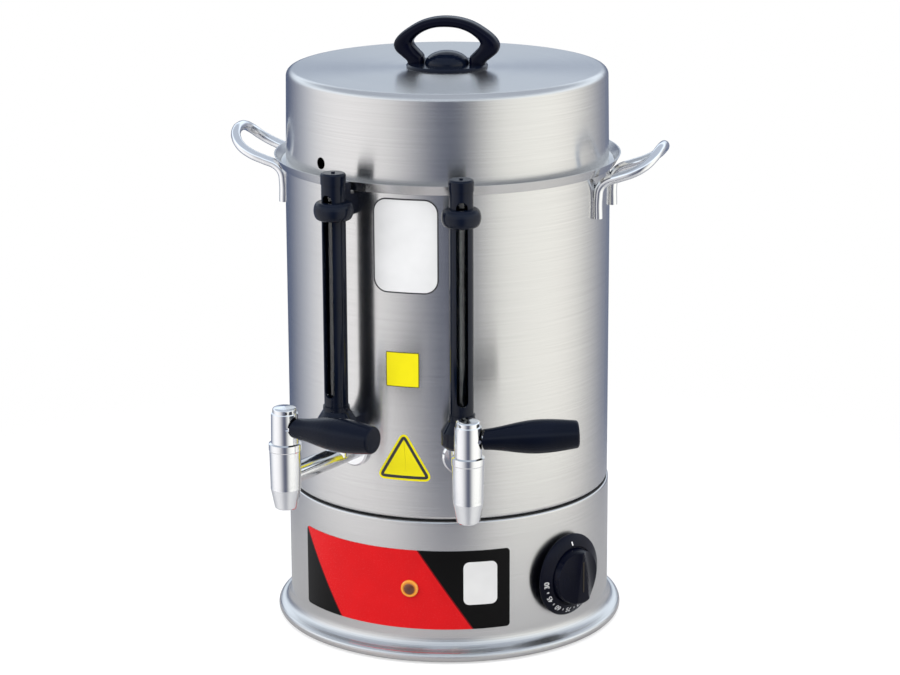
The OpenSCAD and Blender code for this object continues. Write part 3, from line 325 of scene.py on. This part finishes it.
# Tank: a stainless drum with a stepped and flared rim, in which the brew pot hangs by its flange.
# The strainer lifts out of the pot by its bail. A tube heater with brass nuts lies under the pot,
# and a pipe leads from the pot to the tea tap.
heater_metal = brushed_steel("heater_sheath", (0.42, 0.41, 0.40), rough=0.4, anisotropy=0.0)
brass = brushed_steel("brass", (0.75, 0.58, 0.27), rough=0.25, anisotropy=0.0)
finish_nodes(steel, "tank", "brew_pot", "brew_pot_floor", "brew_pot_flange", "tea_down_pipe",
             "strainer", "strainer_floor", "strainer_bail")
finish_nodes(heater_metal, "heating_element")
finish_nodes(brass, "heater_nuts")

# Taps: cast brass, polished and chrome plated, on a pipe through the tank's wall. In each tap a
# plunger with a soft seal closes the seat, and the lever with its black grip lifts it.
chrome, tree, shader, place = new_material("chrome_plate")
waves = noise(tree, place, scale=60.0)
feed(shader, {
    "Base Color": ramp(tree, waves, [(0.2, (0.80, 0.81, 0.83)), (0.8, (0.86, 0.865, 0.87))]),
    "Metallic": 1.0, "Roughness": spread(tree, waves, 0.09, 0.17),
    "Normal": bump(tree, waves, strength=0.03, distance=0.001)})
silicone = moulded_plastic("silicone", (0.62, 0.60, 0.56), rough=0.5, fleck=0.1, pore=0.05)
plunger_plastic = moulded_plastic("plunger_plastic", (0.70, 0.70, 0.68), rough=0.4, fleck=0.08,
                                  pore=0.03)
grip_plastic = moulded_plastic("grip_plastic", (0.0020, 0.0033, 0.0085), rough=0.21, fleck=0.6,
                               pore=0.04, shine=0.13)
finish_nodes(chrome, "tap_washers", "lever_pins")
for tap in ("tea_", "water_"):
    finish_nodes(chrome, *(tap + part for part in (
        "tap_body", "lock_nut", "nozzle", "tap_cap", "lever_arm")))
    finish_nodes(plunger_plastic, tap + "plunger")
    finish_nodes(silicone, tap + "plunger_seal")
    finish_nodes(grip_plastic, tap + "lever_grip")


# Tap springs: round steel wire, coiled between each plunger's head and the cap above it; in the tap
# the coil closes the tap again when the lever is let go. Here it is built at rest and stays with
# the urn.
def settle():
    """Puts the place, turn and size of the piece in hand into its mesh."""
    bpy.ops.object.transform_apply(location=True, rotation=True, scale=True)


def close_ends():
    shape_all(bpy.ops.mesh.fill_holes, sides=0)
    shape_all(bpy.ops.mesh.normals_make_consistent, inside=False)


quarter = math.radians(90.0)
spring_wire = brushed_steel("spring_wire", (0.55, 0.55, 0.56), rough=0.25, anisotropy=0.0)
wire_thick, wire_sides, coil_turns, plunger_travel = 0.001, 14, 4, 0.002
for tap in ("tea_", "water_"):
    coil_low, coil_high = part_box(tap + "spring")
    coil_middle = (coil_low + coil_high) / 2.0
    coil_tall = coil_high.z - coil_low.z
    coil_wide = (coil_high.x - coil_low.x - wire_thick) / 2.0
    bpy.ops.mesh.primitive_circle_add(vertices=wire_sides, radius=wire_thick / 2.0,
                                      rotation=(quarter, 0.0, 0.0))
    coil = bpy.context.object
    coil.name = tap + "coil"
    settle()
    coil.data.transform(Matrix.Translation((coil_wide, 0.0, wire_thick / 2.0)))
    winding = coil.modifiers.new("winding", "SCREW")
    winding.steps = winding.render_steps = 36
    winding.iterations = coil_turns
    winding.screw_offset = (coil_tall - wire_thick) / coil_turns
    winding.use_merge_vertices = False
    bpy.ops.object.modifier_apply(modifier="winding")
    close_ends()
    coil.location = (coil_middle.x, coil_middle.y, coil_low.z)
    settle()
    leave_smooth(50.0)
    coil.data.materials.append(spring_wire)
    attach(coil, "urn")
    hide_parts(tap + "spring")
    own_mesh(coil)


# Side handles: chrome plated rod in one piece, with both legs flat on the drum's wall.
# The arms leave the legs at a low slope and the loop between them curls up at its end.
def cut_away(piece, tool):
    """Cuts the tool's shape out of the piece, and throws the tool away."""
    bpy.context.view_layer.objects.active = piece
    cut = piece.modifiers.new("cut", "BOOLEAN")
    cut.operation = "DIFFERENCE"
    cut.object = tool
    bpy.ops.object.modifier_apply(modifier="cut")
    bpy.data.objects.remove(tool)
    piece.select_set(True)


drum_radius, rod_thick = 0.14, 0.0085
half_path = [
    (0.1393, 0.029, 0.0), (0.1393, 0.029, 0.018), (0.1408, 0.029, 0.0262), (0.1465, 0.029, 0.0322),
    (0.1565, 0.0293, 0.0360), (0.1690, 0.0293, 0.0408), (0.1790, 0.0268, 0.0468),
    (0.1850, 0.0208, 0.0530), (0.1878, 0.0105, 0.0575), (0.1884, 0.0, 0.0585)]
rod_path = half_path + [(out, -across, up) for out, across, up in half_path[-2::-1]]
for node, side in (("left_handle", -1.0), ("right_handle", 1.0)):
    leg_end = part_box(node)[0].z
    bent = bpy.data.curves.new(node + "_rod", "CURVE")
    bent.dimensions = "3D"
    bent.resolution_u = 10
    bent.bevel_depth = rod_thick / 2.0
    bent.bevel_resolution = 6
    bent.use_fill_caps = True
    course = bent.splines.new("BEZIER")
    course.bezier_points.add(len(rod_path) - 1)
    for point, (out, across, up) in zip(course.bezier_points, rod_path):
        point.co = (side * out, across, leg_end + up)
        point.handle_left_type = point.handle_right_type = "AUTO"
    side_handle = add_piece(node + "_rod", bent)
    bpy.ops.object.convert(target="MESH")
    bpy.ops.mesh.primitive_cylinder_add(vertices=360, radius=drum_radius, depth=0.2,
                                        location=(0.0, 0.0, leg_end))
    cut_away(side_handle, bpy.context.object)
    leave_smooth(40.0)
    side_handle.data.materials.append(chrome)
    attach(side_handle, "urn")
    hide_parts(node)

# Sight tubes: a glass tube in a slotted guard of moulded black plastic. The holder on the tap's
# pipe carries it below, and a clamp ring with an arm to the drum's wall holds it above.
glass, tree, shader, place = new_material("sight_glass")
streaks = noise(tree, place, scale=40.0)
feed(shader, {
    "Base Color": ramp(tree, streaks, [(0.2, (0.90, 0.93, 0.92)), (0.8, (0.96, 0.98, 0.97))]),
    "Transmission Weight": 1.0, "IOR": 1.47, "Roughness": 0.02})
finish_nodes(zinc, "clamp_screws")
for tap in ("tea_", "water_"):
    finish_nodes(black_plastic, *(tap + part for part in (
        "sight_holder", "sight_guard", "sight_cap", "sight_clamp")))
    finish_nodes(glass, tap + "sight_glass")


# Control label: a printed plastic foil with rounded corners, glued round the front of the base.
# It has a plain black ground with a slanting red field between two dark red rules, and a hole
# for the pilot lamp.
def flat_sheet(name, wide, tall, corner, rounds=5):
    """A flat sheet standing in the XZ plane with rounded corners, facing -Y."""
    bpy.ops.mesh.primitive_plane_add(size=1.0, rotation=(quarter, 0.0, 0.0))
    sheet = bpy.context.object
    sheet.name = name
    sheet.scale = (wide, tall, 1.0)
    settle()
    shape_all(bpy.ops.mesh.bevel, offset=corner, segments=rounds, affect="VERTICES")
    return sheet


def on_wall(radius, turn, height):
    """A place on a round wall, turned to the right from the front."""
    return Vector((radius * math.sin(turn), -radius * math.cos(turn), height))


def thicken(sheet, thick):
    wall = sheet.modifiers.new("wall", "SOLIDIFY")
    wall.thickness = thick
    wall.offset = 1.0
    bpy.ops.object.modifier_apply(modifier="wall")


def wrap_sheet(sheet, radius, turn, height, thick):
    """Cuts the sheet in upright strips, bends it to the wall, thickens it and puts it in place."""
    strip_turn, fewest_strips = math.radians(1.6), 4
    half = max(v.co.x for v in sheet.data.vertices)
    strips = max(fewest_strips, int(2.0 * half / radius / strip_turn))
    for i in range(1, strips):
        shape_all(bpy.ops.mesh.bisect, plane_co=(-half + 2.0 * half * i / strips, 0.0, 0.0),
                  plane_no=(1.0, 0.0, 0.0))
    bend = sheet.modifiers.new("bend", "SIMPLE_DEFORM")
    bend.deform_method = "BEND"
    bend.deform_axis = "Z"
    bend.angle = 2.0 * half / radius
    bpy.ops.object.modifier_apply(modifier="bend")
    thicken(sheet, thick)
    sheet.location = on_wall(radius, turn, height)
    sheet.rotation_euler = (0.0, 0.0, turn)
    settle()
    leave_smooth(30.0)


def printed_foil(name, tint, rough):
    made, tree, shader, place = new_material(name)
    ink = noise(tree, place, scale=55.0)
    grain = noise(tree, place, scale=900.0)
    feed(shader, {
        "Base Color": ramp(tree, ink, [(0.25, tinted(tint, 0.93)), (0.75, tint)]),
        "Roughness": spread(tree, grain, rough - 0.06, rough + 0.06),
        "Specular IOR Level": 0.14})
    return made


label_black = printed_foil("label_black", (0.0016, 0.0014, 0.0014), rough=0.24)
label_red = printed_foil("label_red", (0.69, 0.008, 0.011), rough=0.26)
label_dark_red = printed_foil("label_dark_red", (0.22, 0.004, 0.006), rough=0.26)
base_radius, label_radius, label_thick = 0.141, 0.14111, 0.00037
label_low, label_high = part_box("control_label")
label_left, label_right = math.radians(-45.0), math.radians(36.5)
label_tall = label_high.z - label_low.z
label_z = (label_low.z + label_high.z) / 2.0
control_foil = flat_sheet("control_foil", wide=(label_right - label_left) * label_radius,
                          tall=label_tall, corner=0.003)
for ink in (label_black, label_red, label_dark_red):
    control_foil.data.materials.append(ink)
field_lean, field_left, field_right, rule = 0.047, -0.0755, 0.0438, 0.0012
slant = Vector((-field_lean, 0.0, label_tall)).normalized()
across_slant = Vector((slant.z, 0.0, -slant.x))
for edge in (field_left - rule, field_left, field_right, field_right + rule):
    shape_all(bpy.ops.mesh.bisect, plane_co=(edge, 0.0, 0.0), plane_no=across_slant)
for face in control_foil.data.polygons:
    from_left = (face.center - Vector((field_left, 0.0, 0.0))).dot(across_slant) / across_slant.x
    if 0.0 < from_left < field_right - field_left:
        face.material_index = 1
    elif -rule < from_left < field_right - field_left + rule:
        face.material_index = 2
wrap_sheet(control_foil, label_radius, (label_left + label_right) / 2.0, label_z, label_thick)
lens_low, lens_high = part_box("pilot_lamp_lens")
lamp_turn, lamp_z = math.radians(1.5), (lens_low.z + lens_high.z) / 2.0
lamp_hole = 0.0058
bpy.ops.mesh.primitive_cylinder_add(vertices=48, radius=lamp_hole, depth=0.02,
                                    location=on_wall(base_radius, lamp_turn, lamp_z),
                                    rotation=(quarter, 0.0, lamp_turn))
cut_away(control_foil, bpy.context.object)
bpy.ops.object.select_all(action="DESELECT")
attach(control_foil, "urn")
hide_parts("control_label")


# Blank plate on the label: a small white foil with rounded corners and a thin dark edge.
# It is glued on the black end of the label, and nothing is printed on it.
def edged_sheet(sheet, inner, edge, rim, margin=0.0):
    """Gives a flat sheet a line of another colour round it, a margin in from its edge."""
    sheet.data.materials.append(inner)
    sheet.data.materials.append(edge)
    bpy.ops.object.mode_set(mode="EDIT")
    bpy.ops.mesh.select_all(action="SELECT")
    for width, ink in ((margin, 1), (rim, 0)):
        bpy.ops.object.mode_set(mode="EDIT")
        if width > 0.0:
            bpy.ops.mesh.inset(thickness=width, depth=0.0)
        bpy.ops.object.mode_set(mode="OBJECT")
        for face in sheet.data.polygons:
            if face.select:
                face.material_index = ink


label_white = printed_foil("label_white", (0.80, 0.80, 0.79), rough=0.3)
plate_turn, plate_lift = math.radians(26.0), 0.006
label_plate = flat_sheet("label_plate", wide=0.031, tall=0.040, corner=0.006)
edged_sheet(label_plate, label_white, label_black, rim=0.0009)
wrap_sheet(label_plate, label_radius + label_thick, plate_turn, label_z + plate_lift, thick=0.00012)
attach(label_plate, "urn")

# Pilot lamp: a lens of clear amber plastic, pushed in from the front through the label.
# It is drawn opaque, and the bulb behind it is off: painted shade makes a dark spot in the middle
# where the unlit bulb would show through, with a lighter ring round it and a darker rim.
lens_face = 0.1445
per_centimetre = 100.0
amber, tree, shader, place = new_material("amber_lens")
from_middle = add_node(tree, "VectorMath", {0: place, 1: on_wall(lens_face, lamp_turn, lamp_z)},
                       operation="DISTANCE").outputs["Value"]
# Painted shade: the dark middle of the amber stands in for the unlit bulb seen through the lens.
feed(shader, {
    "Base Color": ramp(tree, maths(tree, "MULTIPLY", from_middle, per_centimetre), [
        (0.0, (0.06, 0.012, 0.003)), (0.44, (0.14, 0.03, 0.005)), (0.56, (0.78, 0.28, 0.02)),
        (0.70, (0.86, 0.37, 0.03)), (0.82, (0.55, 0.14, 0.012))]),
    "Roughness": 0.1, "Coat Weight": 0.5})
finish_nodes(amber, "pilot_lamp_lens")

# Marks on the drum: a white blank badge, a small yellow square and a yellow triangle.
# They are plain printed foils with a thin dark line round them, glued one above the other on the
# front.
badge_white = printed_foil("badge_white", (0.86, 0.86, 0.86), rough=0.3)
badge_edge = printed_foil("badge_edge", (0.05, 0.05, 0.055), rough=0.3)
sticker_yellow = printed_foil("sticker_yellow", (0.98, 0.86, 0.012), rough=0.32)
square_edge = printed_foil("square_edge", (0.13, 0.12, 0.01), rough=0.32)
mark_radius = 0.14002
badge = flat_sheet("front_badge", wide=0.056, tall=0.080, corner=0.012, rounds=8)
edged_sheet(badge, badge_white, badge_edge, rim=0.0012)
wrap_sheet(badge, mark_radius, math.radians(0.7), height=0.361, thick=0.0003)
square_sticker = flat_sheet("square_sticker", wide=0.0287, tall=0.0300, corner=0.0010)
edged_sheet(square_sticker, sticker_yellow, square_edge, rim=0.0007)
wrap_sheet(square_sticker, mark_radius, math.radians(-0.6), height=0.2556, thick=0.0002)
triangle_reach, triangle_corner = 0.0297, 0.0086
bpy.ops.mesh.primitive_circle_add(vertices=3, radius=triangle_reach, fill_type="NGON",
                                  rotation=(quarter, 0.0, 0.0))
triangle_sticker = bpy.context.object
triangle_sticker.name = "triangle_sticker"
settle()
shape_all(bpy.ops.mesh.bevel, offset=triangle_corner, segments=8, affect="VERTICES")
edged_sheet(triangle_sticker, sticker_yellow, badge_edge, rim=0.0026, margin=0.0017)
wrap_sheet(triangle_sticker, mark_radius, math.radians(-0.3), height=0.1740, thick=0.0002)
for mark in (badge, square_sticker, triangle_sticker):
    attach(mark, "urn")

# Lid: a tall cover drawn from stainless sheet, with a round steam vent in its side.
# A base disc with a dome, moulded in black plastic, is screwed on top and carries the handle.
finish_nodes(steel, "lid", "lid_top_disc")
finish_nodes(zinc, "lid_screws")
finish_nodes(black_plastic, "lid_handle_base")

# Lid handle: a moulded black arch with soft edges, wide at its shoulders, with a finger opening
# under it. Its two legs lean in to the base disc, which they stand on at both sides of the dome,
# and screws hold them.
arch_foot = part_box("lid_handle")[0].z
arch_turn = math.radians(6.0)
arch_deep, arch_softness, arch_steps, arch_sides = 0.0185, 0.62, 5, 36
arch_outside = [
    (0.0, 0.0405), (0.0120, 0.0393), (0.0240, 0.0355), (0.0360, 0.0282), (0.0427, 0.0222),
    (0.0456, 0.0162), (0.0440, 0.0105), (0.0385, 0.0056), (0.0347, 0.0025), (0.0338, 0.0)]
arch_inside = [
    (0.0, 0.0315), (0.0100, 0.0307), (0.0187, 0.0277), (0.0253, 0.0233), (0.0288, 0.0189),
    (0.0282, 0.0154), (0.0243, 0.0109), (0.0205, 0.0070), (0.0196, 0.0035), (0.0196, 0.0)]


def line_through(points):
    """A smooth line from the middle of the arch through the points, with steps between each two."""
    line = []
    for i in range(len(points) - 1):
        before = points[i - 1] if i else (-points[1][0], points[1][1])
        after = points[i + 2] if i + 2 < len(points) else points[i + 1]
        for k in range(arch_steps):
            t = k / arch_steps
            line.append(Vector([
                b + 0.5 * t * (c - a + t * (2.0 * a - 5.0 * b + 4.0 * c - d
                                            + t * (3.0 * (b - c) + d - a)))
                for a, b, c, d in zip(before, points[i], points[i + 1], after)]))
    return line + [Vector(points[-1])]


def softened_round(turn):
    return [math.copysign(abs(part) ** arch_softness, part)
            for part in (math.cos(turn), math.sin(turn))]


arch_half = list(zip(line_through(arch_outside), line_through(arch_inside)))
arch_sections = [(Vector((-out.x, out.y)), Vector((-inn.x, inn.y)))
                 for out, inn in arch_half[:0:-1]] + arch_half
arch_points = []
for out, inn in arch_sections:
    for k in range(arch_sides):
        across, deep = softened_round(2.0 * math.pi * k / arch_sides)
        spot = (out + inn) / 2.0 + (out - inn) / 2.0 * across
        arch_points.append((spot.x, deep * arch_deep / 2.0, arch_foot + spot.y))
arch_faces = []
for ring in range(0, len(arch_points) - arch_sides, arch_sides):
    for k in range(arch_sides):
        here, beside = ring + k, ring + (k + 1) % arch_sides
        arch_faces.append((here, beside, beside + arch_sides, here + arch_sides))
arch_mesh = bpy.data.meshes.new("lid_arch")
arch_mesh.from_pydata(arch_points, [], arch_faces)
lid_arch = add_piece("lid_arch", arch_mesh)
close_ends()
lid_arch.rotation_euler = (0.0, 0.0, arch_turn)
settle()
leave_smooth(40.0)
jet_plastic = moulded_plastic("jet_plastic", (0.0009, 0.0014, 0.0058), rough=0.15, fleck=0.6,
                              pore=0.02, shine=0.12)
lid_arch.data.materials.append(jet_plastic)
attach(lid_arch, "lid")
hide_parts("lid_handle")

# Thermostat knob: moulded black plastic, with a sloping skirt and a hub that two finger scoops
# narrow to a wedge. It is pushed on the thermostat's spindle, which comes out through the base.
knob_turn, knob_z = math.radians(60.0), 0.064
knob_places = (Matrix.Translation(on_wall(base_radius, knob_turn, knob_z))
               @ Matrix.Rotation(knob_turn, 4, "Z") @ Matrix.Rotation(quarter, 4, "X"))
skirt_edge, skirt_root = (0.0349, 0.0058), (0.0258, 0.0098)
knob_line = [
    (0.0, 0.0025), (0.0325, 0.0025), (0.0350, 0.0031), (0.0358, 0.0038), (0.0360, 0.0045),
    (0.0357, 0.0052), skirt_edge, skirt_root, (0.0254, 0.0096), (0.0252, 0.0090), (0.0245, 0.0090),
    (0.0242, 0.0096), (0.0240, 0.0112), (0.0231, 0.0190), (0.0227, 0.0207), (0.0218, 0.0217),
    (0.0205, 0.0220), (0.0, 0.0220)]
thermostat_knob = spun_piece("thermostat_knob", knob_line, steps=96, closed=False)
scoop_radius, scoop_aside, scoop_high, scoop_taper = 0.0270, 0.0222, 0.0424, math.radians(9.0)
for side in (-1.0, 1.0):
    bpy.ops.mesh.primitive_cylinder_add(vertices=160, radius=scoop_radius, depth=0.12,
                                        location=(side * scoop_aside, 0.0, scoop_high),
                                        rotation=(-quarter, 0.0, side * scoop_taper))
    cut_away(thermostat_knob, bpy.context.object)
softened = thermostat_knob.modifiers.new("softened", "BEVEL")
softened.width = 0.0007
softened.segments = 3
softened.limit_method = "ANGLE"
softened.angle_limit = math.radians(28.0)
bpy.ops.object.modifier_apply(modifier="softened")
thermostat_knob.matrix_world = knob_places
settle()
leave_smooth(30.0)
thermostat_knob.data.materials.append(jet_plastic)
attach(thermostat_knob, "knob")
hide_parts("knob")

# Painted highlight on the knob: a thin brown strip laid along the top of the wedge, standing in for
# the line of light that the ridge catches. It stands a hair proud of the hub and turns with the
# knob.
highlight_strip_place = Matrix.Translation((0.0, 0.0015, 0.02195))
knob_highlight_strip = flat_sheet("knob_highlight_strip", wide=0.0013, tall=0.0270, corner=0.0004)
thicken(knob_highlight_strip, 0.00025)
knob_highlight_strip.matrix_world = knob_places @ highlight_strip_place @ Matrix.Rotation(-quarter, 4, "X")
settle()
bpy.ops.object.select_all(action="DESELECT")
# Painted highlight: this brown stands in for light along the ridge, not for a coloured part.
painted_highlight_brown = printed_foil("painted_highlight_brown", (0.036, 0.030, 0.020), rough=0.3)
knob_highlight_strip.data.materials.append(painted_highlight_brown)
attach(knob_highlight_strip, "knob")

# Figures on the knob: degrees in white print along the sloping skirt, with a tick between each
# two, and a broader line at the top as the index.
dial_white = printed_foil("dial_white", (0.82, 0.82, 0.82), rough=0.4)
skirt_tilt = math.atan2(skirt_root[1] - skirt_edge[1], skirt_edge[0] - skirt_root[0])


def place_on_skirt(turn, radius):
    rise = skirt_edge[1] + (skirt_edge[0] - radius) * math.tan(skirt_tilt)
    return (knob_places @ Matrix.Rotation(math.radians(turn), 4, "Z")
            @ Matrix.Translation((0.0, radius, rise)) @ Matrix.Rotation(-skirt_tilt, 4, "X"))


figures = ("30", "45", "60", "75", "90")
figure_radius, figure_tall, first_turn, turn_step = 0.0304, 0.0064, 94.0, 26.5
print_thick = 0.0002
marks = []
for i, figure in enumerate(figures):
    bpy.ops.object.text_add()
    mark = bpy.context.object
    mark.data.body = figure
    mark.data.size = figure_tall
    mark.data.align_x, mark.data.align_y = "CENTER", "CENTER"
    mark.data.extrude = print_thick / 2.0
    bpy.ops.object.convert(target="MESH")
    shape_all(bpy.ops.mesh.remove_doubles, threshold=0.000002)
    mark.matrix_world = place_on_skirt(first_turn + turn_step * i, figure_radius)
    marks.append(mark)
index_radius, index_wide, index_tall, tick_wide, tick_tall = 0.0285, 0.0015, 0.0034, 0.0007, 0.0020
ticks = [(0.0, index_radius, index_wide, index_tall)]
for i in range(len(figures) - 1):
    ticks.append((first_turn + turn_step * (i + 0.5), figure_radius, tick_wide, tick_tall))
for turn, radius, wide, tall in ticks:
    bpy.ops.mesh.primitive_cube_add(size=1.0)
    mark = bpy.context.object
    tick_size = Matrix.Diagonal((wide, tall, print_thick, 1.0))
    mark.matrix_world = place_on_skirt(turn, radius) @ tick_size
    marks.append(mark)
bpy.ops.object.select_all(action="DESELECT")
for mark in marks:
    mark.select_set(True)
dial_figures = marks[-1]
bpy.context.view_layer.objects.active = dial_figures
bpy.ops.object.join()
dial_figures.name = "dial_figures"
settle()
bpy.ops.object.select_all(action="DESELECT")
dial_figures.data.materials.clear()
dial_figures.data.materials.append(dial_white)
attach(dial_figures, "knob")
